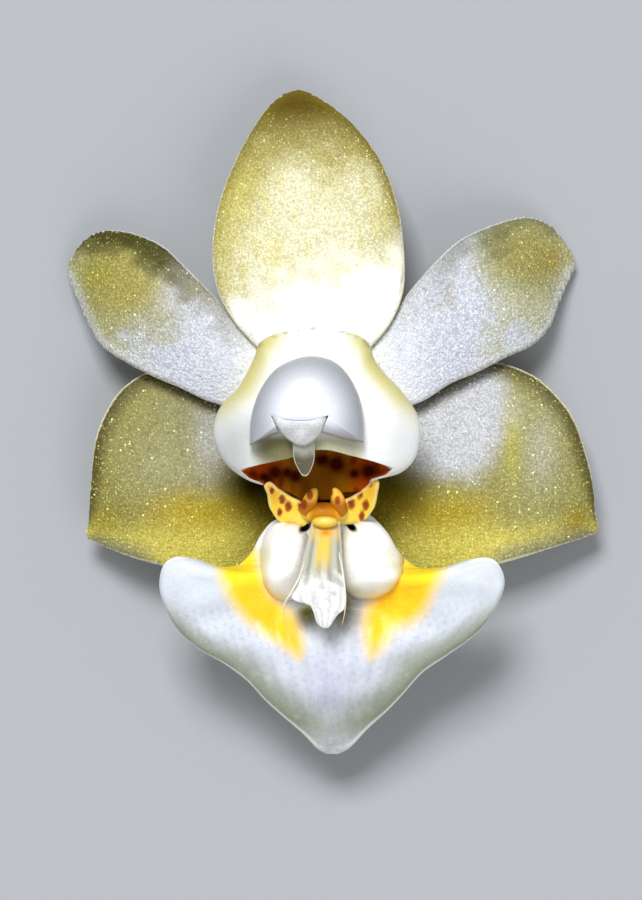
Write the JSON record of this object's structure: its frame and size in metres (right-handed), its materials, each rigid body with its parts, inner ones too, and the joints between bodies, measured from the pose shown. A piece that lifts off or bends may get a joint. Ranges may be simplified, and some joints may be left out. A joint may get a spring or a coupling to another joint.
{
  "type": "phalaenopsis gibbosa flower",
  "caption": "Picked moth orchid bloom with olive sepals, pale petals, a white column and a kite-shaped lip, lying on its back to look up.",
  "frame": {"origin": "on the surface the bloom lies on, under the middle of its outline", "axes": "+Z the way the bloom faces, away from the surface; +Y from its centre to the dorsal sepal's tip; +X to the right as seen from the front"},
  "size_m": [0.0107, 0.0134, 0.005],
  "materials": {
    "sepal": "olive yellow, crystalline, satin",
    "petal": "pale lilac grey turning olive outwards, crystalline, satin",
    "column": "white with pale green edges, waxy",
    "anther_cap": "lavender white, smooth",
    "pollen": "glassy white",
    "lip": "white satin with yellow-orange patches",
    "stalk": "pale green, waxy"
  },
  "bodies": {
    "root": {"dorsal_sepal": "sepal", "lateral_sepal_left": "sepal", "lateral_sepal_right": "sepal", "petal_left": "petal", "petal_right": "petal", "column": "column", "anther_cap": "anther_cap", "pollinarium": "pollen", "lip": "lip", "ovary_pedicel": "stalk"}
  },
  "joints": []
}
